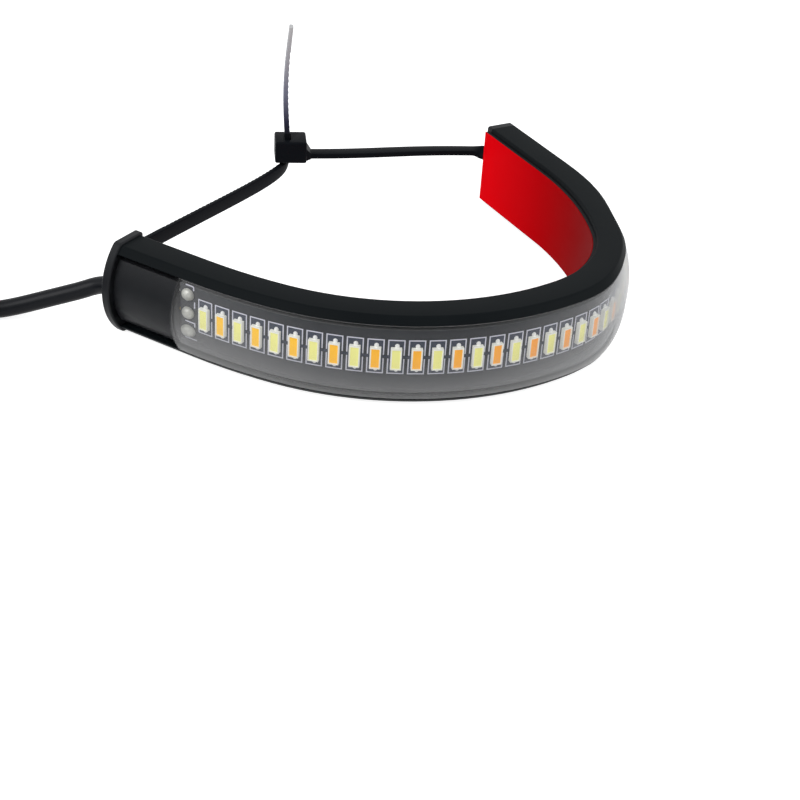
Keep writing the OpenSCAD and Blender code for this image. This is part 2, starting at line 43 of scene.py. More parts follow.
# Camera, floor and light. The camera looks down on the front bend of the strip from a hand's
# length away. The floor and the surroundings are white, and soft lamps stand left and right.
camera_down, camera_turn = 32.8315, 3.9293
paper_glow = 0.85
lamps_aim = Vector((0, 0, 0.007))
bpy.ops.object.select_all(action="DESELECT")
bpy.ops.object.camera_add(location=(0.00446, -0.23203, 0.12872))
camera = bpy.context.object
camera.rotation_mode = "ZYX"
camera.rotation_euler = (math.radians(90 - camera_down), 0, math.radians(camera_turn))
camera.data.lens = 75.22
camera.data.sensor_width = 36
camera.data.clip_start = 0.01
bpy.context.scene.camera = camera
bpy.context.scene.view_settings.view_transform = "Standard"


def add_node(tree, kind, operation=None, **values):
    """A shader node with its operation and its inputs' values, where From_Min means From Min."""
    node = tree.nodes.new(kind)
    if operation:
        node.operation = operation
    for name, value in values.items():
        node.inputs[name.replace("_", " ")].default_value = value
    return node


def background_rays(tree):
    """1 for the rays of the camera, of gloss and of glass, which all see the same white."""
    path = add_node(tree, "ShaderNodeLightPath")
    found = path.outputs["Is Camera Ray"]
    for kind in ("Is Glossy Ray", "Is Transmission Ray"):
        either = add_node(tree, "ShaderNodeMath", "MAXIMUM")
        tree.links.new(found, either.inputs[0])
        tree.links.new(path.outputs[kind], either.inputs[1])
        found = either.outputs[0]
    return found


def new_finish(name, color, roughness, specular=0.5):
    """A material, its node tree and its shader."""
    finish = bpy.data.materials.new(name)
    finish.use_nodes = True
    shader = finish.node_tree.nodes["Principled BSDF"]
    shader.inputs["Base Color"].default_value = (*color, 1)
    shader.inputs["Roughness"].default_value = roughness
    shader.inputs["Specular IOR Level"].default_value = specular
    return finish, finish.node_tree, shader


surroundings = bpy.data.worlds.new("surroundings")
bpy.context.scene.world = surroundings
surroundings.use_nodes = True
tree = surroundings.node_tree
dim = tree.nodes["Background"]
dim.inputs["Color"].default_value = (0.95, 0.97, 1, 1)
dim.inputs["Strength"].default_value = 0.5
bright = add_node(tree, "ShaderNodeBackground", Color=(1, 1, 1, 1))
either = add_node(tree, "ShaderNodeMixShader")
tree.links.new(background_rays(tree), either.inputs[0])
tree.links.new(dim.outputs[0], either.inputs[1])
tree.links.new(bright.outputs[0], either.inputs[2])
tree.links.new(either.outputs[0], tree.nodes["World Output"].inputs["Surface"])

bpy.ops.mesh.primitive_circle_add(vertices=96, radius=3, fill_type="NGON")
ground = bpy.context.object
ground.name = "ground"
paper, tree, sheet = new_finish("white_paper", (0.6, 0.6, 0.6), 0.9, 0)
glow = add_node(tree, "ShaderNodeEmission")
lift = add_node(tree, "ShaderNodeMath", "MULTIPLY")
lift.inputs[1].default_value = paper_glow
total = add_node(tree, "ShaderNodeAddShader")
tree.links.new(background_rays(tree), lift.inputs[0])
tree.links.new(lift.outputs[0], glow.inputs["Strength"])
tree.links.new(sheet.outputs[0], total.inputs[0])
tree.links.new(glow.outputs[0], total.inputs[1])
tree.links.new(total.outputs[0], tree.nodes["Material Output"].inputs["Surface"])
ground.data.materials.append(paper)


def soft_lamp(name, place, watts, size):
    """A square lamp at a place, turned to the strip."""
    bpy.ops.object.light_add(type="AREA", location=place)
    lamp = bpy.context.object
    lamp.name = name
    lamp.data.energy = watts
    lamp.data.size = size
    lamp.rotation_euler = (lamps_aim - Vector(place)).to_track_quat("-Z", "Y").to_euler()


soft_lamp("lamp_left", (-0.45, -0.35, 0.55), 3.2, 0.5)
soft_lamp("lamp_right", (0.6, -0.1, 0.35), 1.6, 0.35)

# Cable: a round three-core lead in a soft black jacket, moulded into the cap of the strip. It
# drops to the ground in an easy curve, and the spare length is wound into a neat coil of nine
# turns. Its last part comes down inside the coil, where the cores are bared as leads.
cable_d = 2.7
cable_r = cable_d / 2
cable_exit = (-37.9441, -17.6892, 6.75)
cable_route = (
    cable_exit,
    (-39.9, -16.8, 6.5),
    (-41.7, -16.2, 5.9),
    (-44.3, -16.3, 4.9),
    (-48.9, -16.6, 3.4),
    (-53.3, -17.1, 2.1),
    (-56.5, -17.6, 1.5),
    (-60.5, -18.1, 1.35),
    (-64.5, -18.3, 1.35),
)
coil_centre = (-75, -36)
outer, middle, inner = 17.7, 15, 12.3
low, mid, high = 1.35, 4.05, 6.75
end_radius = 9.45
first_angle, last_angle, angle_step = 90, 3330, 8
band_angle = -90
band_lift = 0.45
lift_reach, lift_fade = 26.6, 14


def smooth(t):
    """Goes from 0 to 1 without a kink while t does, and stays there."""
    u = max(0, min(1, t))
    return u * u * (3 - 2 * u)


def through(points, steps):
    """Places on one smooth curve through all the points."""
    found = []
    for i in range(len(points) - 1):
        a, b = Vector(points[max(i - 1, 0)]), Vector(points[i])
        c, d = Vector(points[i + 1]), Vector(points[min(i + 2, len(points) - 1)])
        for k in range(steps):
            t = k / steps
            found.append(
                0.5 * (2 * b + (c - a) * t + (2 * a - 5 * b + 4 * c - d) * t * t
                       + (3 * b - a - 3 * c + d) * t ** 3)
            )
    return found


def round_coil(radius, angle, height):
    """A place round the coil's centre."""
    turn = math.radians(angle)
    return Vector(
        (coil_centre[0] + radius * math.cos(turn), coil_centre[1] + radius * math.sin(turn), height)
    )


# The winding's changes of lane, as the angle where each starts and ends, then radius and height.
# The first layer is wound inwards, the second outwards, the third inwards, each change a little
# earlier round the coil than what it passes over.
winding = (
    (90, 90, outer, low),
    (420, 450, middle, low),
    (780, 810, inner, low),
    (1110, 1140, inner, mid),
    (1440, 1470, middle, mid),
    (1800, 1830, outer, mid),
    (2130, 2160, outer, high),
    (2460, 2490, middle, high),
    (2820, 2850, inner, high),
    (3162, 3192, end_radius, high),
    (3192, 3305, end_radius, low),
)


def on_winding(angle):
    """A place on the wound cable, which is lifted a little where the band passes under it."""
    radius, height = outer, low
    for start, end, next_radius, next_height in winding:
        share = smooth((angle - start) / (end - start)) if end > start else 1
        if angle >= start:
            radius += (next_radius - radius) * share
            height += (next_height - height) * share
    off = (angle - band_angle + 180) % 360 - 180
    near_band = smooth((lift_reach - abs(off)) / lift_fade) if radius > inner - 0.1 else 0
    return round_coil(radius, angle, height + band_lift * near_band)


cable_line = through(cable_route, 3) + [Vector(cable_route[-1])]
coil_start = round_coil(outer, first_angle, low)
cable_line += [cable_line[-1].lerp(coil_start, k / 4) for k in range(1, 4)]
cable_line += [on_winding(angle) for angle in range(first_angle, last_angle + 1, angle_step)]
cable_line.append(on_winding(last_angle))


def round_bar(name, line, radius, sides=20):
    """A curve of one open spline along places given in millimetres, with a round section."""
    shape = bpy.data.curves.new(name, "CURVE")
    shape.dimensions = "3D"
    shape.bevel_depth = radius * mm
    shape.bevel_resolution = sides // 4 - 1
    shape.use_fill_caps = True
    spline = shape.splines.new("POLY")
    spline.points.add(len(line) - 1)
    for point, place in zip(spline.points, line):
        point.co = (*(place * mm), 1)
    spline.use_smooth = True
    bar = bpy.data.objects.new(name, shape)
    bpy.context.scene.collection.objects.link(bar)
    return bar


# The grain of moulded rubber and plastic: fine noise, and a slower mottle over it
grain_bump = 0.15
grain = bpy.data.node_groups.new("moulded_grain", "ShaderNodeTree")
for name, way in (("Fine", "INPUT"), ("Slow", "INPUT"), ("Height", "OUTPUT"), ("Mottle", "OUTPUT")):
    grain.interface.new_socket(name, in_out=way, socket_type="NodeSocketFloat")
sockets_in = grain.nodes.new("NodeGroupInput")
sockets_out = grain.nodes.new("NodeGroupOutput")
where = add_node(grain, "ShaderNodeTexCoord")
for socket, detail, result in (("Fine", 2, "Height"), ("Slow", 3, "Mottle")):
    noise = add_node(grain, "ShaderNodeTexNoise", Detail=detail)
    grain.links.new(where.outputs["Object"], noise.inputs["Vector"])
    grain.links.new(sockets_in.outputs[socket], noise.inputs["Scale"])
    grain.links.new(noise.outputs[0], sockets_out.inputs[result])


def color_mix(tree, a=None, b=None):
    """A mix of two colours. One that isn't given is linked later."""
    mix = add_node(tree, "ShaderNodeMix")
    mix.data_type = "RGBA"
    for end, color in (("A", a), ("B", b)):
        if color:
            mix.inputs[end].default_value = (*color, 1)
    return mix


def moulded(name, dark, pale, rough, specular, fine, slow, depth=0, glow=None):
    """A finish with grain between two tones and roughnesses, bump if it has a depth, and a painted glow
    if one is given.
    """
    finish, tree, shader = new_finish(name, pale, rough[0], specular)
    link = tree.links.new
    cells = add_node(tree, "ShaderNodeGroup")
    cells.node_tree = grain
    cells.inputs["Fine"].default_value = fine
    cells.inputs["Slow"].default_value = slow
    if depth:
        bump = add_node(tree, "ShaderNodeBump", Strength=grain_bump, Distance=depth)
        link(cells.outputs["Height"], bump.inputs["Height"])
        link(bump.outputs[0], shader.inputs["Normal"])
    tint = color_mix(tree, dark, pale)
    tint.name = "tint"
    link(cells.outputs["Mottle"], tint.inputs["Factor"])
    link(tint.outputs["Result"], shader.inputs["Base Color"])
    spread = add_node(tree, "ShaderNodeMapRange", To_Min=rough[0], To_Max=rough[1])
    link(cells.outputs["Mottle"], spread.inputs["Value"])
    link(spread.outputs[0], shader.inputs["Roughness"])
    # The glow is painted light: the part shines by itself though it is no lamp.
    if glow:
        color, strength = glow
        shader.inputs["Emission Color"].default_value = (*color, 1)
        shader.inputs["Emission Strength"].default_value = strength
    return finish


def nodes_of(finish):
    """The node tree, shader and mix of tones of a moulded finish."""
    tree = finish.node_tree
    return tree, tree.nodes["Principled BSDF"], tree.nodes["tint"]


def fit(piece, finish, slot, *nodes):
    """Gives a piece its finish, and puts it in the place of its CAD nodes. Its slot is not used."""
    piece.data.materials.clear()
    piece.data.materials.append(finish)
    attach(piece, "root")
    if nodes:
        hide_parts(*nodes)
    return piece


jacket = moulded("cable_jacket", (0.006, 0.007, 0.009), (0.010, 0.011, 0.014),
                 (0.26, 0.36), 0.12, 9000, 400, 0.00002)
cable = fit(round_bar("cable_and_coil", cable_line, cable_r), jacket, "cable_jacket",
            "cable", "cable_coil", "cable_end")

# Leads: the three bared cores, soft plastic on copper strands, fanned out on the ground inside
# the coil. Each tip is stripped and tinned.
# Each lead's colour, its offsets sideways and upwards where it leaves the cable, the degrees that
# it goes round the coil, and how far it moves outwards on the way.
leads = {
    "white": ((0.78, 0.78, 0.74), 0.62, 0.31, 140, 0.2),
    "yellow": ((0.85, 0.6, 0.06), 0, 0.93, 150, -2.2),
    "black": ((0.014, 0.014, 0.015), -0.62, 0.31, 125, -3.4)}
lead_d = 0.9
lead_steps = 28
lead_low, lead_rise = cable_r - 0.3, 0.6
insulation_t = 0.16
tinned, tree, shader = new_finish("tinned_strands", (0.72, 0.71, 0.68), 0.28, 0.5)
shader.inputs["Metallic"].default_value = 1
twist = add_node(tree, "ShaderNodeTexNoise", Scale=6000)
where = add_node(tree, "ShaderNodeTexCoord")
bump = add_node(tree, "ShaderNodeBump", Distance=0.00003)
tree.links.new(where.outputs["Object"], twist.inputs["Vector"])
tree.links.new(twist.outputs[0], bump.inputs["Height"])
tree.links.new(bump.outputs[0], shader.inputs["Normal"])

cable_parts = []
for tone, (color, beside, above, turn, inset) in leads.items():
    line = []
    for k in range(lead_steps + 1):
        u = k / lead_steps
        drop = lead_low + above * lead_rise
        height = drop + (lead_d / 2 - drop) * smooth(4 * u)
        radius = end_radius + beside + inset * smooth(1.6 * u)
        line.append(round_coil(radius, last_angle + turn * u, height))
    plastic = moulded("lead_" + tone + "_plastic", tuple(0.88 * c for c in color), color,
                      (0.32, 0.45), 0.5, 3500, 600, 0.00001)
    lead = fit(round_bar("lead_wire_" + tone, line[:-3], lead_d / 2, 16), plastic,
               "wire_" + tone, "lead_" + tone)
    bare = round_bar("lead_tip_" + tone, line[-4:], lead_d / 2 - insulation_t, 12)
    cable_parts += [lead, fit(bare, tinned, "solder")]


def select_only(*pieces):
    """Selects these pieces and no others, with the first as the active one."""
    bpy.ops.object.select_all(action="DESELECT")
    for piece in pieces:
        piece.select_set(True)
    bpy.context.view_layer.objects.active = pieces[0]


def edit(piece, kind="VERT"):
    """Edit mode for one piece, selecting its vertices, edges or faces."""
    select_only(piece)
    kinds = ("VERT", "EDGE", "FACE")
    bpy.context.tool_settings.mesh_select_mode = [kind == other for other in kinds]
    bpy.ops.object.mode_set(mode="EDIT")


def pick_faces(piece, wanted):
    """Edit mode for one piece, with only the faces selected that fit."""
    edit(piece, "FACE")
    bpy.ops.mesh.select_all(action="DESELECT")
    bpy.ops.object.mode_set(mode="OBJECT")
    for face in piece.data.polygons:
        face.select = wanted(face)
    bpy.ops.object.mode_set(mode="EDIT")


smooth_angle = 32


def leave_edit(piece, angle=smooth_angle):
    """Ends edit mode with the faces turned outwards, and smooths the piece up to an angle."""
    bpy.ops.mesh.select_all(action="SELECT")
    bpy.ops.mesh.remove_doubles(threshold=0.000001)
    bpy.ops.mesh.normals_make_consistent(inside=False)
    bpy.ops.object.mode_set(mode="OBJECT")
    bpy.ops.object.shade_smooth_by_angle(angle=math.radians(angle))
    return piece


def apply_all(piece):
    """Applies a piece's modifiers in their order."""
    select_only(piece)
    for name in [modifier.name for modifier in piece.modifiers]:
        bpy.ops.object.modifier_apply(modifier=name)


# Coil band: a soft rubber strap closed round the nine turns. It is a rounded loop, three
# millimetres wide, that lies under the turns, up both sides and over them.
band_w = 3
band_t = 0.4
band_half = 3 * cable_r
band_edge = 0.12
bpy.ops.object.select_all(action="DESELECT")
bpy.ops.mesh.primitive_plane_add(size=1)
band = bpy.context.object
band.name = "coil_band_strap"
edit(band)
bpy.ops.transform.resize(value=(2 * band_half * mm, 2 * band_half * mm, 1))
bpy.ops.mesh.bevel(offset=cable_r * mm, segments=6, affect="VERTICES")
bpy.ops.mesh.delete(type="ONLY_FACE")
bpy.ops.mesh.select_all(action="SELECT")
bpy.ops.mesh.extrude_region_move(TRANSFORM_OT_translate={"value": (0, 0, band_w * mm)})
bpy.ops.mesh.select_all(action="SELECT")
bpy.ops.mesh.normals_make_consistent(inside=False)
bpy.ops.object.mode_set(mode="OBJECT")
wall = band.modifiers.new("wall", "SOLIDIFY")
wall.thickness = band_t * mm
wall.offset = 1
wall.use_even_offset = True
edge = band.modifiers.new("edge", "BEVEL")
edge.width = band_edge * mm
edge.segments = 2
apply_all(band)
middle_of_turns = round_coil((outer + inner) / 2, band_angle, (low + high) / 2 + band_t) * mm
across_band = Matrix.Translation((0, 0, -band_w * mm / 2))
turn_band = Matrix.Rotation(math.radians(band_angle), 4, "Z")
stand = Matrix.Rotation(math.radians(90), 4, "X")
band.data.transform(Matrix.Translation(middle_of_turns) @ turn_band @ stand @ across_band)
bpy.ops.object.shade_smooth_by_angle(angle=math.radians(smooth_angle))
band_rubber = moulded("band_rubber", (0.022, 0.022, 0.022), (0.035, 0.035, 0.036),
                      (0.55, 0.7), 0.3, 3000, 500, 0.00002)
fit(band, band_rubber, "band", "coil_band")
cable_parts.append(band)

# Housing: the soft black body of the strip, extruded in silicone rubber as one D-shaped length
# with a lip above and below the lens, and a channel through its base for the tie. All strip
# pieces take the same bends: back radius and turn, or zero and length where it is straight.
bends = ((0, 13), (72.5, 10), (38.2, 60), (19.5, 56.5), (52, 24.5), (0, 17.5))
strip_h = 14
flat_depth = 4.5
dome_rise = 3
shoulder_r = 0.6
back_edge_r = 0.4
back_steps, shoulder_steps, dome_steps = 5, 6, 40
lip_h = 1.1
base_t = 4.2
board_face = 5
base_z = 0.35
start_place = (-34.85, -15.03)
start_heading = -30
far_plate_t = 1.2
middle_h = strip_h / 2
dome_r = (middle_h ** 2 + dome_rise ** 2) / (2 * dome_rise)
dome_x = flat_depth + dome_rise - dome_r


def bend_length(bend):
    """The length of a bend, measured on the board's face."""
    radius, amount = bend
    return (radius + board_face) * math.radians(amount) if radius else amount


strip_l = sum(bend_length(bend) for bend in bends)
housing_l = strip_l - far_plate_t


def strip_place(distance):
    """Place and heading of the strip's back at a distance, measured on the board's face."""
    x, y = start_place
    heading = math.radians(start_heading)
    left = distance
    for i, bend in enumerate(bends):
        radius, amount = bend
        length = bend_length(bend)
        go = left if i == len(bends) - 1 or left < length else length
        if radius:
            turned = heading + math.radians(amount) * go / length
            x += radius * (math.sin(turned) - math.sin(heading))
            y += radius * (math.cos(heading) - math.cos(turned))
            heading = turned
        else:
            x += go * math.cos(heading)
            y += go * math.sin(heading)
        left -= go
        if left <= 0:
            break
    return x, y, heading


# The soft strip is stretched round its tightest bend, where it thins and its dome is drawn flat
stretch_from, stretch_to = 75, 114
stretch_fade = 14
stretch_thins = 0.15
stretch_flattens = 0.3
dome_edge = 1.2
touching = 0.001
off_strip = 9


def stretch(distance):
    """The share of the full stretch at a distance along the strip."""
    rise, fall = distance - stretch_from, stretch_to - distance
    return smooth(rise / stretch_fade) * smooth(fall / stretch_fade)


def strip_spot(distance, depth, height):
    """A point of the strip in metres: along it, outwards from its back, up from its bottom."""
    x, y, heading = strip_place(distance)
    if depth > 0:
        depth *= 1 - stretch_thins * stretch(distance)
    return Vector(
        (x + depth * math.sin(heading), y - depth * math.cos(heading), height + base_z)
    ) * mm


def arc(cx, cy, r, start, end, steps):
    """Points of an arc, with its angles in radians."""
    return [
        (cx + r * math.cos(start + (end - start) * k / steps),
         cy + r * math.sin(start + (end - start) * k / steps))
        for k in range(steps + 1)
    ]


def strip_outline(grow=0):
    """The D-shaped outline, anticlockwise as depth and height, grown evenly."""
    r = shoulder_r + grow
    h = middle_h + grow - r
    reach = dome_r + grow - r
    x = dome_x + math.sqrt(reach * reach - h * h)
    a = math.atan2(h, x - dome_x)
    back_x, back_h = back_edge_r - grow, middle_h + grow - back_edge_r
    half = math.pi / 2
    return (
        arc(back_x, middle_h - back_h, back_edge_r, math.pi, math.pi + half, back_steps)
        + arc(x, middle_h - h, r, -half, -a, shoulder_steps)
        + arc(dome_x, middle_h, dome_r + grow, -a, a, dome_steps)[1:-1]
        + arc(x, middle_h + h, r, a, half, shoulder_steps)
        + arc(back_x, middle_h + back_h, back_edge_r, half, math.pi, back_steps)
    )


def band_outline(half, depth, r, steps=36):
    """A level band of the section, from a depth outwards to a circle round the dome's middle."""
    a = math.asin(half / r)
    return ([(depth, middle_h - half)] + arc(dome_x, middle_h, r, -a, a, steps)
            + [(depth, middle_h + half)])


def strip_where(x, y):
    """Distance along the strip and depth from its back of a place seen from above, or None."""
    done = 0
    for bend in bends:
        radius, amount = bend
        length = bend_length(bend)
        from_x, from_y, heading = strip_place(done)
        if radius:
            off_x = x - from_x + radius * math.sin(heading)
            off_y = y - from_y - radius * math.cos(heading)
            turned = (math.atan2(off_x, -off_y) - heading + math.pi) % math.tau - math.pi
            along = turned / math.radians(amount) * length
            depth = math.hypot(off_x, off_y) - radius
        else:
            along = (x - from_x) * math.cos(heading) + (y - from_y) * math.sin(heading)
            depth = (x - from_x) * math.sin(heading) - (y - from_y) * math.cos(heading)
        if -touching < along < length + touching and abs(depth) < off_strip:
            return done + along, depth
        done += length
    return None


def draw_in(piece):
    """Moves a piece's vertices to where the stretched bend has them."""
    for vertex in piece.data.vertices:
        found = strip_where(vertex.co.x / mm, vertex.co.y / mm)
        if found and found[1] > 0 and stretch(found[0]) > 0:
            distance, depth = found
            height = vertex.co.z / mm - base_z
            reach = dome_r ** 2 - (height - middle_h) ** 2
            rise = max(0, dome_x + math.sqrt(reach) - flat_depth)
            near_dome = max(0, min(1, (depth - flat_depth) / dome_edge))
            depth -= stretch_flattens * stretch(distance) * rise * near_dome
            vertex.co = strip_spot(distance, depth, height)


def bend_piece(name, outline, start, end, step=2.5):
    """Runs a closed outline along the strip, by extruding on straights and spinning on bends."""
    bpy.ops.object.select_all(action="DESELECT")
    bpy.ops.mesh.primitive_circle_add(vertices=len(outline), radius=0.01)
    piece = bpy.context.object
    piece.name = name
    for vertex, (depth, height) in zip(piece.data.vertices, outline):
        vertex.co = strip_spot(start, depth, height)
    edit(piece)
    done = 0
    for i, bend in enumerate(bends):
        radius, amount = bend
        length = bend_length(bend)
        low_end = start if i == 0 else max(start, done)
        high_end = end if i == len(bends) - 1 else min(end, done + length)
        done += length
        if high_end - low_end < touching:
            continue
        x, y, heading = strip_place(low_end)
        if radius:
            turn = math.radians(amount) * (high_end - low_end) / length
            bpy.ops.mesh.spin(
                steps=max(1, math.ceil(math.degrees(turn) / step)), angle=-turn,
                center=((x - radius * math.sin(heading)) * mm, (y + radius * math.cos(heading)) * mm, 0),
                axis=(0, 0, 1))
        else:
            way = Vector((math.cos(heading), math.sin(heading), 0)) * (high_end - low_end) * mm
            bpy.ops.mesh.extrude_region_move(TRANSFORM_OT_translate={"value": way})
    bpy.ops.mesh.select_all(action="SELECT")
    bpy.ops.mesh.fill_holes(sides=0)
    leave_edit(piece)
    draw_in(piece)
    return piece


def combine(piece, operation, *others):
    """Joins closed shapes to a piece or cuts them out, and removes them."""
    for other in others:
        step = piece.modifiers.new("step", "BOOLEAN")
        step.operation = operation
        step.solver = "EXACT"
        step.object = other
        apply_all(piece)
        bpy.data.objects.remove(other)


def take_away(piece, *cutters):
    """Cuts closed shapes out of a piece and smooths it."""
    combine(piece, "DIFFERENCE", *cutters)
    bpy.ops.object.shade_smooth_by_angle(angle=math.radians(smooth_angle))


strap_w = 2.3
strap_t = 0.9
strap_gap = 0.15
channel_before, channel_after = 3, 2
strap_depth = 1.15
strap_h = middle_h + 1.3


def channel_cutter():
    """The strap with its gap, as long as the strip and more."""
    half_t, half_w = strap_t / 2 + strap_gap, strap_w / 2 + strap_gap
    corners = [(strap_depth - half_t, strap_h - half_w), (strap_depth + half_t, strap_h - half_w),
               (strap_depth + half_t, strap_h + half_w), (strap_depth - half_t, strap_h + half_w)]
    return bend_piece("channel_cutter", corners, -channel_before, strip_l + channel_after)


lip_round = 0.12
back_and_shoulder = strip_outline()[:back_steps + shoulder_steps + 2]
lip_tip = dome_x + math.sqrt(dome_r ** 2 - (middle_h - lip_h) ** 2)
lower = back_and_shoulder + [
    (lip_tip - lip_round / 4, lip_h - lip_round), (lip_tip - lip_round, lip_h), (base_t, lip_h)]
upper = [(depth, strip_h - height) for depth, height in reversed(lower)]
housing = bend_piece("housing_body", lower + upper, 0, housing_l)
take_away(housing, channel_cutter())
rubber = moulded("housing_rubber", (0.004, 0.0055, 0.0065), (0.007, 0.009, 0.010),
                 (0.44, 0.58), 0.035, 9000, 160, 0.00002)
fit(housing, rubber, "housing_rubber", "housing")

# Lens: clear soft silicone, domed and of even wall, pressed between the lips over the board. It
# is a little milky, so what lies under it fades where it is seen aslant. Over the black plug
# that fills its end it is drawn quite clear.
lens_wall = 0.8
lens_gap = 0.05
plug_len = 10.8
clear_after, milky_after = 0.2, 0.6
lens_half = middle_h - lip_h - lens_gap
cavity_half = lens_half - lens_wall
lens_outline = band_outline(lens_half, base_t, dome_r) + list(
    reversed(band_outline(cavity_half, base_t, dome_r - lens_wall)))
lens = bend_piece("lens_dome", lens_outline, 0, housing_l, 2)
milky, tree, shader = new_finish("milky_silicone", (0.52, 0.52, 0.52), 0.25, 0.05)
aslant = add_node(tree, "ShaderNodeLayerWeight", Blend=0.5)
power = add_node(tree, "ShaderNodeMath", "POWER")
power.inputs[1].default_value = 1.5
cloud = add_node(tree, "ShaderNodeMapRange", To_Max=0.95)
where = add_node(tree, "ShaderNodeTexCoord")
along = add_node(tree, "ShaderNodeVectorMath", "DOT_PRODUCT")
along_x, along_y = math.cos(math.radians(start_heading)), math.sin(math.radians(start_heading))
along.inputs[1].default_value = (along_x, along_y, 0)
plug_ends = start_place[0] * along_x + start_place[1] * along_y + plug_len
backed = add_node(tree, "ShaderNodeMapRange", From_Min=(plug_ends + clear_after) * mm,
                  From_Max=(plug_ends + milky_after) * mm)
veil = add_node(tree, "ShaderNodeMath", "MULTIPLY")
link = tree.links.new
link(where.outputs["Object"], along.inputs[0])
link(along.outputs["Value"], backed.inputs["Value"])
link(aslant.outputs["Facing"], power.inputs[0])
link(power.outputs[0], cloud.inputs["Value"])
link(cloud.outputs[0], veil.inputs[0])
link(backed.outputs[0], veil.inputs[1])
link(veil.outputs[0], shader.inputs["Alpha"])
fit(lens, milky, "clear_lens", "lens")

# Circuit board: a thin flexible board with a grey mask, bonded to the base. White ink draws a
# frame round each package, broken at the middle of both sides, and dark tracks join the frames.
board_t = 0.8
board_h = 10
board_start = 11
far_plug_l = 9.8
board_gap = 0.2
board_end = housing_l - far_plug_l - board_gap
low_edge, high_edge = middle_h - board_h / 2, middle_h + board_h / 2
board = bend_piece(
    "board_strip",
    [(base_t, low_edge), (base_t + board_t, low_edge),
     (base_t + board_t, high_edge), (base_t, high_edge)],
    board_start, board_end)
mask = moulded("board_mask", (0.065, 0.068, 0.074), (0.085, 0.088, 0.095),
               (0.5, 0.62), 0.2, 6000, 220, 0.00001)
fit(board, mask, "board", "pcb")

led_count = 38
led_first = 15.47
led_pitch = 2.87
led_h = 3.4
led_w = 1.4
led_t = 0.7
led_middle = middle_h + 0.6


def stand_on_board(distance, height, above=0.0):
    """Puts a shape made flat, x along the strip and y up, on the board's face."""
    x, y, heading = strip_place(distance)
    along = Vector((math.cos(heading), math.sin(heading), 0))
    out = Vector((math.sin(heading), -math.cos(heading), 0))
    place = strip_spot(distance, board_face + above, height)
    return Matrix((
        (along.x, 0, out.x, place.x), (along.y, 0, out.y, place.y), (0, 1, 0, place.z), (0, 0, 0, 1)))


def copy_at(master, place):
    """A copy of a shape with its own mesh, at its own place."""
    copy = master.copy()
    copy.data = master.data.copy()
    bpy.context.scene.collection.objects.link(copy)
    copy.data.transform(place)
    return copy


def copies(master, name, places):
    """One mesh of a shape's copies, each at its own place. The master is removed."""
    made = [copy_at(master, place) for place in places]
    bpy.data.objects.remove(master)
    select_only(*made)
    bpy.ops.object.join()
    made[0].name = name
    return made[0]


def flat_bar(name, width, height, thick):
    """A thin bar, standing on its own back face."""
    bpy.ops.object.select_all(action="DESELECT")
    bpy.ops.mesh.primitive_cube_add(size=1)
    bar = bpy.context.object
    bar.name = name
    edit(bar)
    bpy.ops.transform.resize(value=(width * mm, height * mm, thick * mm))
    bpy.ops.transform.translate(value=(0, 0, thick * mm / 2))
    return leave_edit(bar)


frame_w = 2.4
frame_h = 5.5
frame_line = 0.17
frame_gap = 0.55
frame_rise = 0.1
ink_t = 0.03
window_t = 0.012
track_h, track_overlap = 0.3, 0.3
print_lift, track_lift = 0.02, 0.01
led_places = [led_first + i * led_pitch for i in range(led_count)]
bpy.ops.object.select_all(action="DESELECT")
bpy.ops.mesh.primitive_plane_add(size=1)
printed = bpy.context.object
edit(printed)
bpy.ops.transform.resize(value=(frame_w * mm, frame_h * mm, 1))
bpy.ops.mesh.inset(thickness=frame_line * mm)
bpy.ops.mesh.delete(type="FACE")
for side in (-1, 1):
    bpy.ops.mesh.select_all(action="SELECT")
    bpy.ops.mesh.bisect(plane_co=(0, side * frame_gap / 2 * mm, 0), plane_no=(0, 1, 0))
bpy.ops.object.mode_set(mode="OBJECT")
pick_faces(printed, lambda face: abs(face.center.y) < frame_gap / 2 * mm)
bpy.ops.mesh.delete(type="FACE")
bpy.ops.object.mode_set(mode="OBJECT")
wall = printed.modifiers.new("wall", "SOLIDIFY")
wall.thickness = ink_t * mm
wall.offset = 0
apply_all(printed)
print_frames = copies(
    printed, "printed_frames",
    [stand_on_board(s, led_middle + frame_rise, ink_t) for s in led_places])
# The ink is given a faint glow of painted light.
ink = moulded("white_ink", (0.66, 0.66, 0.76), (0.8, 0.8, 0.88), (0.5, 0.7), 0.2,
              5000, 900, 0.00001, glow=((0.75, 0.75, 0.85), 0.08))
fit(print_frames, ink, "board")

# Dark windows of bare mask inside the frames, and a dark track between neighbours
dark_mask = moulded("dark_mask", (0.055, 0.065, 0.095), (0.08, 0.09, 0.12),
                    (0.45, 0.6), 0.4, 1800, 300, 0.00001)
windows = copies(
    flat_bar("window", frame_w - frame_line, frame_h - frame_line, window_t), "mask_windows",
    [stand_on_board(s, led_middle + frame_rise, print_lift) for s in led_places])
fit(windows, dark_mask, "board")
tracks = copies(
    flat_bar("track", led_pitch - frame_w + track_overlap, track_h, ink_t), "mask_tracks",
    [stand_on_board(s + led_pitch / 2, led_middle + frame_rise, track_lift)
     for s in led_places[:-1]])
fit(tracks, dark_mask, "board")

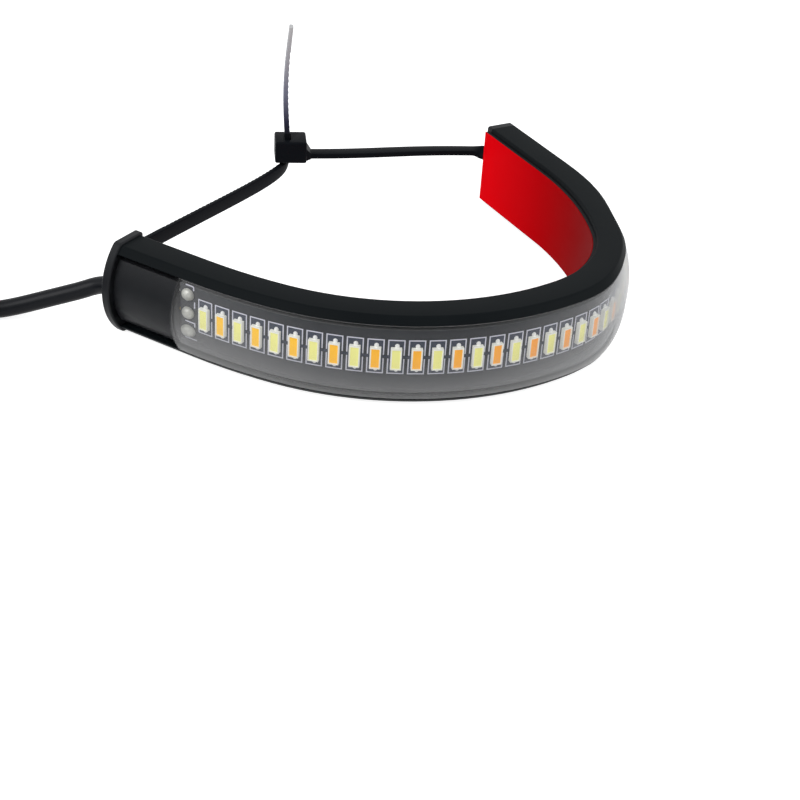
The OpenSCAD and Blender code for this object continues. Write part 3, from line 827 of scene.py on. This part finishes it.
# Light-emitting diodes: small moulded packages, each soldered to the board inside its frame. A
# white rim stands round a sunk window of phosphor, pale yellow and amber by turns.
led_rim = 0.17
led_edge = 0.06
led_well = led_t / 4
well_step = 0.03
package_w = led_w + 0.15
# The packages glow a little with painted light, which makes up for the light that the lens keeps off
# them.
white_case = moulded("white_case", (0.8, 0.8, 0.72), (0.88, 0.88, 0.82), (0.35, 0.5), 0.4,
                     4000, 900, 0.000005, glow=((0.9, 0.9, 0.82), 0.25))
# The phosphor glows too, with painted light in its own tone.
phosphors = {}
for tone, dark, pale in (
        ("white", (0.78, 0.76, 0.24), (0.88, 0.86, 0.32)),
        ("amber", (0.98, 0.56, 0.03), (0.95, 0.36, 0.04))):
    phosphors[tone] = moulded(tone + "_phosphor", dark, pale, (0.3, 0.45), 0.4,
                              3000, 1200, 0.000005, glow=(pale, 0.3))


def object_axis(tree, axis):
    """The socket of one of a point's coordinates, in metres."""
    where = add_node(tree, "ShaderNodeTexCoord")
    apart = add_node(tree, "ShaderNodeSeparateXYZ")
    tree.links.new(where.outputs["Object"], apart.inputs[0])
    return apart.outputs[axis]


# The amber tone is painted in from yellow at the cable's end to orange at the other
tree, shader, tint = nodes_of(phosphors["amber"])
yellow_to, orange_from = -14, 24
along = add_node(tree, "ShaderNodeMapRange", From_Min=yellow_to * mm, From_Max=orange_from * mm)
tree.links.new(object_axis(tree, "X"), along.inputs["Value"])
tree.links.new(along.outputs[0], tint.inputs["Factor"])
# The phosphor's painted glow takes the same tone.
tree.links.new(tint.outputs["Result"], shader.inputs["Emission Color"])

bpy.ops.object.select_all(action="DESELECT")
bpy.ops.mesh.primitive_cube_add(size=1)
package = bpy.context.object
edit(package)
bpy.ops.transform.resize(value=(package_w * mm, led_h * mm, led_t * mm))
bpy.ops.transform.translate(value=(0, 0, led_t * mm / 2))
bpy.ops.mesh.bevel(offset=led_edge * mm, segments=2, affect="EDGES")
bpy.ops.object.mode_set(mode="OBJECT")
half_top = 0.5 * package_w * led_h * mm * mm
pick_faces(package, lambda face: face.normal.z > 0.99 and face.area > half_top)
bpy.ops.mesh.inset(thickness=(led_rim - led_edge) * mm)
bpy.ops.mesh.extrude_region_move(TRANSFORM_OT_translate={"value": (0, 0, -led_well * mm)})
bpy.ops.mesh.inset(thickness=well_step * mm)
bpy.ops.object.mode_set(mode="OBJECT")
package.data.materials.append(white_case)
package.data.materials.append(phosphors["white"])
for face in package.data.polygons:
    face.material_index = 1 if face.select else 0
bpy.ops.object.shade_smooth_by_angle(angle=math.radians(smooth_angle))

for i, s in enumerate(led_places):
    tone = "white" if i % 2 == 0 else "amber"
    led = copy_at(package, stand_on_board(s, led_middle))
    led.name = f"package_{tone}_{i + 1:02d}"
    led.data.materials[1] = phosphors[tone]
    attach(led, "root")
    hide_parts(f"led_{tone}_{i + 1:02d}")
bpy.data.objects.remove(package)

# Solder: the packages' small joints at both ends, and three larger ones where the cores meet
# the board. Each is a low bright dome of tin that has flowed on its pad.
tin = moulded("bright_tin", (0.42, 0.42, 0.38), (0.84, 0.84, 0.78), (0.25, 0.5), 0.4,
              2500, 1100, 0.00012)
nodes_of(tin)[1].inputs["Metallic"].default_value = 0.15


def tin_dome(name, radius, height, rings=10):
    """A low dome of solder with a flat foot."""
    bpy.ops.object.select_all(action="DESELECT")
    bpy.ops.mesh.primitive_uv_sphere_add(segments=24, ring_count=rings, radius=radius * mm)
    dome = bpy.context.object
    dome.name = name
    edit(dome)
    bpy.ops.mesh.bisect(plane_co=(0, 0, 0), plane_no=(0, 0, 1), use_fill=True, clear_inner=True)
    bpy.ops.mesh.select_all(action="SELECT")
    bpy.ops.transform.resize(value=(1, 1, height / radius))
    return leave_edit(dome, 50)


pad_shift, pad_out = 0.1, 0.2
package_joints = copies(
    tin_dome("joint", 0.34, 0.4, 8), "package_joints",
    [stand_on_board(s + pad_shift, led_middle + side * (led_h / 2 + pad_out))
     for s in led_places for side in (1, -1)])
# The joints are pale and glow a little with painted light.
painted_glow_tin = moulded("painted_glow_tin", (0.8, 0.8, 0.78), (0.92, 0.92, 0.9), (0.25, 0.4), 0.4,
                    4000, 1100, 0.00002, glow=((0.9, 0.9, 0.88), 0.2))
fit(package_joints, painted_glow_tin, "solder")

joint_place = 12.5
joint_pitch = 3
joint_r = 0.95
joint_t = 0.78
for name, rise, longer in (
        ("top", joint_pitch, 1.1), ("middle", 0, 1.1), ("bottom", -joint_pitch, 1.35)):
    joint = tin_dome("core_joint_" + name, joint_r, joint_t, 14)
    joint.data.transform(Matrix.Diagonal((longer, 1, 1, 1)))
    joint.data.transform(stand_on_board(joint_place, led_middle + rise))
    fit(joint, tin, "solder", "solder_left_" + name)

# White ticks printed beside the core joints: each one's offsets from the middle joint, along
# and up the board, and its width and height
tick_places = (
    (0.2, joint_pitch + 1.45, 1.3, 0.2),
    (0.95, joint_pitch + 1.15, 0.2, 0.7),
    (1.1, joint_pitch - 1.5, 0.2, 1.0),
    (0.2, 1.5 - joint_pitch, 1.6, 0.2),
    (1.1, 1.25 - joint_pitch, 0.2, 0.7),
    (0.4, -1.2 - joint_pitch, 2.2, 0.2))
for number, (along, above, width, tall) in enumerate(tick_places):
    tick = flat_bar(f"printed_tick_{number + 1}", width, tall, ink_t)
    tick.data.transform(stand_on_board(joint_place + along, led_middle + above, print_lift))
    fit(tick, ink, "board")

# Cores: the three bared wires, which leave the cable inside the cap, spread to the heights of
# their joints and come to them from within the board, so only the joints show.
core_d = 0.6
core_steps = 16
core_start = 3.5
core_short = 0.2
core_under = 0.1
cable_depth = 3.85
cable_drop = 0.6
for tone, rise in (("white", joint_pitch), ("yellow", 0), ("black", -joint_pitch)):
    line = []
    for k in range(core_steps + 1):
        u = k / core_steps
        spread = smooth(2 * u - 0.2)
        depth = cable_depth + (board_face - core_d / 2 - core_under - cable_depth) * spread
        from_height = middle_h - cable_drop + rise / 5
        height = from_height + (led_middle + rise - from_height) * spread
        along = core_start + (joint_place - core_start - core_short) * u
        line.append(strip_spot(along, depth, height) / mm)
    fit(round_bar("bared_core_" + tone, line, core_d / 2, 12),
        bpy.data.materials["lead_" + tone + "_plastic"], "wire_" + tone, "core_" + tone)
bpy.data.objects["cable_in_cap"].material_slots[0].material = jacket

# Cap: moulded black rubber on the cable's end. Its flange stands a little proud of the strip all
# round, and its plug fills the end of the lens, where it shows through.
flange_t = 1.35
flange_lip = 0.35
flange_edge = 0.22
plug_gap = 0.05
hole_gap, hole_l, hole_before = 0.05, 5, 1
cap = bend_piece("cap_flange", strip_outline(flange_lip), -flange_t, 0)
pick_faces(cap, lambda face: len(face.vertices) > 4)
bpy.ops.mesh.region_to_loop()
bpy.ops.mesh.bevel(offset=flange_edge * mm, segments=3, affect="EDGES")
leave_edit(cap)
plug = bend_piece(
    "cap_plug", band_outline(cavity_half - plug_gap, base_t, dome_r - lens_wall - plug_gap),
    -flange_t / 2, plug_len)
combine(cap, "UNION", plug)
bpy.ops.object.select_all(action="DESELECT")
hole_at = -flange_t - hole_before
bpy.ops.mesh.primitive_cylinder_add(
    vertices=48, radius=(cable_r + hole_gap) * mm, depth=hole_l * mm,
    location=strip_spot(hole_at, cable_depth, middle_h - cable_drop),
    rotation=(math.radians(90), 0, strip_place(hole_at)[2] + math.radians(90)))
take_away(cap, bpy.context.object, channel_cutter())
cap_rubber = moulded("cap_rubber", (0.013, 0.014, 0.016), (0.017, 0.018, 0.020),
                     (0.34, 0.46), 0.1, 9000, 200)
fit(cap, cap_rubber, "cap_rubber", "end_cap")

# Far plug: the same rubber, pushed into the far end, with a plate that is level with the strip
end_plug = bend_piece("far_plate", strip_outline(), housing_l, strip_l)
far_plug = bend_piece(
    "far_plug", band_outline(cavity_half - plug_gap, base_t, dome_r - lens_wall - plug_gap),
    housing_l - far_plug_l, housing_l + far_plate_t / 2)
combine(end_plug, "UNION", far_plug)
take_away(end_plug, channel_cutter())
fit(end_plug, cap_rubber, "cap_rubber", "end_plug")

# Back tape: soft black foam with adhesive on both sides, and a red film over it that is peeled
# off before the strip is stuck down. The film is one red, and the shade that falls on it towards
# the bend is painted in.
tape_half = 6.2
tape_t = 0.5
liner_t = 0.12
tape_start, tape_stop = 2, strip_l - 0.3


def back_outline(inner_depth, thick):
    """The outline of a sheet on the strip's back."""
    return [(-inner_depth - thick, middle_h - tape_half), (-inner_depth, middle_h - tape_half),
            (-inner_depth, middle_h + tape_half), (-inner_depth - thick, middle_h + tape_half)]


foam = bend_piece("foam_strip", back_outline(0, tape_t), tape_start, tape_stop)
cells = moulded("black_foam", (0.012, 0.012, 0.013), (0.028, 0.028, 0.03),
                (0.85, 0.95), 0.15, 3500, 900, 0.00012)
fit(foam, cells, "foam", "foam_tape")
film = bend_piece("red_film", back_outline(tape_t, liner_t), tape_start, tape_stop)
red = moulded("red_film", (0.86, 0.0003, 0.004), (0.95, 0.0005, 0.006), (0.4, 0.6), 0.01,
              900, 90, 0.00002)
tree, shader, tint = nodes_of(red)
bright_to, deep_from = 17, 32
deeper = add_node(tree, "ShaderNodeMapRange", From_Min=bright_to * mm, From_Max=deep_from * mm)
deep_red = color_mix(tree, b=(0.22, 0.0001, 0.001))
tree.links.new(object_axis(tree, "X"), deeper.inputs["Value"])
tree.links.new(deeper.outputs[0], deep_red.inputs["Factor"])
tree.links.new(tint.outputs["Result"], deep_red.inputs["A"])
tree.links.new(deep_red.outputs["Result"], shader.inputs["Base Color"])
fit(film, red, "red_liner", "liner")

# Cable tie: one piece of black nylon. Its strap leaves the head, runs through the strip's base
# and comes back up through the head, with its teeth turned outwards. Its tail thins, and a
# highlight is painted on it that pales it towards the tip.
hook_r = 3.4
head_l, head_w, head_t = 4.8, 4.8, 3.3
head_round = 0.35
head_fuller = 0.45
head_place = Vector((-16.93, 24.77, 11.05 + base_z))
root_heading = 8
root_drop = 0.9
neck_l = 1.3
neck_in = 0.6
neck_narrower, neck_thinner = 0.4, 0.3
slot_shift = -0.25
tail_l = 19.5
tail_bow = 0.55
slot_over = 0.2
slot_gap = 0.08
tooth_pitch = 1
tooth_depth = 0.1
plain_start, plain_tip = 16, 8
tip_start, tip_end = 10, 1
tip_narrows, tip_thins, tip_leans = 0.35, 0.3, 0.15
root_pull, left_pull, rise_pull = 12, 24, 3.1
left_dip = 0.4
far_turn, near_turn = 66, -90
rise_from = 0.55
root_step, channel_step = 1.2, 2
curve_steps = 200


def level_way(angle):
    """A level direction, as its angle in degrees from x."""
    return Vector((math.cos(math.radians(angle)), math.sin(math.radians(angle)), 0))


def hook(place, angle, turn, steps=8):
    """A level bend of the strap, from a place and heading."""
    side = 1 if turn > 0 else -1
    centre = place + hook_r * level_way(angle + 90 * side)
    return [centre + hook_r * level_way(angle - 90 * side + turn * k / steps)
            for k in range(steps + 1)]


def even_curve(a, b, c, d, step):
    """Places at even steps along a curve with its two ends and their handles given."""
    fine = []
    for k in range(curve_steps + 1):
        t = k / curve_steps
        u = 1 - t
        fine.append(u ** 3 * a + 3 * t * u * u * b + 3 * t * t * u * c + t ** 3 * d)
    length = sum((q - p).length for p, q in zip(fine, fine[1:]))
    pace = length / round(length / step)
    found, gone = [fine[0]], 0
    for p, q in zip(fine, fine[1:]):
        gone += (q - p).length
        if gone >= pace * len(found) - touching:
            found.append(q)
    return found


down = Vector((0, 0, -1))
far_exit = strip_spot(strip_l, strap_depth, strap_h) / mm
far_heading = math.degrees(strip_place(strip_l)[2])
near_exit = strip_spot(-flange_t, strap_depth, strap_h) / mm
near_heading = start_heading + 180
root_way = level_way(root_heading)
across_way = level_way(root_heading + 90)
far_hook = hook(far_exit, far_heading, far_turn)
near_hook = hook(near_exit, near_heading, near_turn)
root_start = head_place + head_l / 2 * root_way + root_drop * down
root_line = even_curve(
    root_start, root_start + root_pull * root_way,
    far_hook[-1] + root_pull * level_way(far_heading + far_turn), far_hook[-1], root_step)
slot_low = head_place + slot_shift * root_way + (head_t / 2 + slot_over) * down
left_line = even_curve(
    near_hook[-1], near_hook[-1] + left_pull * level_way(near_heading + near_turn) + left_dip * down,
    slot_low + rise_pull * down, slot_low, tooth_pitch / 2)
tail_run = tail_l + head_t + 2 * slot_over
tail_n = round(2 * tail_run / tooth_pitch)

# Each place of the strap, with the way that its width points there
strap_line = [(root_start - neck_in * root_way, -across_way)]
strap_line += [(place, -across_way) for place in root_line[:-1]]
for k, place in enumerate(reversed(far_hook)):
    strap_line.append((place, (-across_way).lerp(down, smooth(k / (len(far_hook) - 1)))))
s = strip_l - 1
while s > -flange_t:
    strap_line.append((strip_spot(s, strap_depth, strap_h) / mm, down))
    s -= channel_step
strap_line += [(place, down) for place in near_hook]
teeth_first = len(strap_line) + plain_start
for k, place in enumerate(left_line[1:]):
    share = smooth((k / len(left_line) - rise_from) / (1 - rise_from))
    face_way = level_way(near_heading + (root_heading + 180 - near_heading) * share)
    before, after = left_line[k], left_line[min(k + 2, len(left_line) - 1)]
    strap_line.append((place, face_way.cross(after - before).normalized()))
tail_first = len(strap_line)
for k in range(1, tail_n + 1):
    z = k / tail_n * tail_run
    u = max(0, z - head_t) / tail_l
    bow = Vector((-tail_bow * math.sin(math.pi * u) + tip_leans * u, 0, z))
    strap_line.append((slot_low + bow, -across_way))

strap_edge = 0.2
corner_steps = 3
ring_sides = 4 * (corner_steps + 1)
strap_rings = []
for i, (place, width) in enumerate(strap_line):
    before = strap_line[max(i - 1, 0)][0]
    after = strap_line[min(i + 1, len(strap_line) - 1)][0]
    along = (after - before).normalized()
    width = (width - width.dot(along) * along).normalized()
    face_way = along.cross(width)
    tail_steps = len(strap_line) - tail_first - tip_start - tip_end
    to_tip = max(0, (i - tail_first - tip_start) / tail_steps)
    half = strap_w / 2 * (1 - tip_narrows * to_tip)
    up = strap_t / 2 * (1 - tip_thins * to_tip)
    in_teeth = teeth_first < i < len(strap_line) - plain_tip
    top = up - (tooth_depth if in_teeth and i % 2 else 0)
    side, crown, foot = half - strap_edge, top - strap_edge, strap_edge - up
    quarter = math.pi / 2
    outline = []
    for k, (a, b) in enumerate(((side, crown), (-side, crown), (-side, foot), (side, foot))):
        outline += arc(a, b, strap_edge, k * quarter, (k + 1) * quarter, corner_steps)
    strap_rings.append([place + a * width + b * face_way for a, b in outline])

bpy.ops.object.select_all(action="DESELECT")
bpy.ops.mesh.primitive_grid_add(
    x_subdivisions=ring_sides, y_subdivisions=len(strap_rings) - 1, size=1)
tie = bpy.context.object
tie.name = "tie_strap_and_head"
for vertex in tie.data.vertices:
    side = round((vertex.co.x + 0.5) * ring_sides) % ring_sides
    station = round((vertex.co.y + 0.5) * (len(strap_rings) - 1))
    vertex.co = strap_rings[station][side] * mm
edit(tie)
bpy.ops.mesh.select_all(action="SELECT")
bpy.ops.mesh.remove_doubles(threshold=0.000001)
bpy.ops.mesh.select_all(action="SELECT")
bpy.ops.mesh.fill_holes(sides=0)
leave_edit(tie, 40)


def block(name, size, place, round_edge=0):
    """A block in the head's own frame, with its edges rounded if asked."""
    bpy.ops.object.select_all(action="DESELECT")
    bpy.ops.mesh.primitive_cube_add(size=1)
    solid = bpy.context.object
    solid.name = name
    edit(solid)
    bpy.ops.transform.resize(value=[c * mm for c in size])
    if round_edge:
        bpy.ops.mesh.bevel(offset=round_edge * mm, segments=4, affect="EDGES")
    bpy.ops.mesh.select_all(action="SELECT")
    bpy.ops.transform.translate(value=[c * mm for c in place])
    return leave_edit(solid)


head = block(
    "tie_head", (head_l + head_fuller, head_w, head_t + head_fuller),
    (head_fuller / 2, 0, head_fuller / 2), head_round)
neck_at = head_l / 2 + head_fuller + (neck_l - head_fuller - neck_in) / 2
neck_w, neck_t = head_w - neck_narrower, head_t - neck_thinner
neck = block("tie_neck", (neck_l - head_fuller + neck_in, neck_w, neck_t), (neck_at, 0, 0))
pick_faces(neck, lambda face: face.normal.x > 0.9)
bpy.ops.transform.resize(value=(1, strap_w / neck_w, strap_t / neck_t))
bpy.ops.transform.translate(value=(0, 0, -root_drop * mm))
leave_edit(neck)
combine(head, "UNION", neck)
slot_size = (strap_t + 2 * slot_gap, strap_w + 2 * slot_gap, 2 * head_t)
take_away(head, block("slot", slot_size, (slot_shift, 0, 0)))
head.data.transform(
    Matrix.Translation(head_place * mm) @ Matrix.Rotation(math.radians(root_heading), 4, "Z"))
select_only(tie, head)
bpy.ops.object.join()
nylon = moulded("black_nylon", (0.004, 0.005, 0.007), (0.006, 0.007, 0.009),
                (0.34, 0.48), 0.025, 8000, 300, 0.00001)
tree, shader, tint = nodes_of(nylon)
height_axis = object_axis(tree, "Z")
# A painted highlight on the tail: above the head, its colour goes from near black to pale grey at the
# tip.
head_top, tip_top = 14.5, 32.8
up = add_node(tree, "ShaderNodeMapRange", From_Min=head_top * mm, From_Max=tip_top * mm)
fade = add_node(tree, "ShaderNodeValToRGB")
ramp = fade.color_ramp.elements
ramp[0].color = (0.012, 0.013, 0.016, 1)
ramp[1].color = (0.56, 0.56, 0.56, 1)
for share, shade in (
        (0.12, (0.03, 0.032, 0.06, 1)), (0.4, (0.2, 0.21, 0.28, 1)), (0.7, (0.42, 0.42, 0.45, 1))):
    ramp.new(share).color = shade
tail_mix = color_mix(tree)
above = add_node(tree, "ShaderNodeMath", "GREATER_THAN")
above.inputs[1].default_value = (head_top + 0.1) * mm
link = tree.links.new
link(height_axis, up.inputs["Value"])
link(height_axis, above.inputs[0])
link(up.outputs[0], fade.inputs["Fac"])
link(above.outputs[0], tail_mix.inputs["Factor"])
link(tint.outputs["Result"], tail_mix.inputs["A"])
link(fade.outputs["Color"], tail_mix.inputs["B"])
link(tail_mix.outputs["Result"], shader.inputs["Base Color"])
fit(tie, nylon, "nylon", "cable_tie")
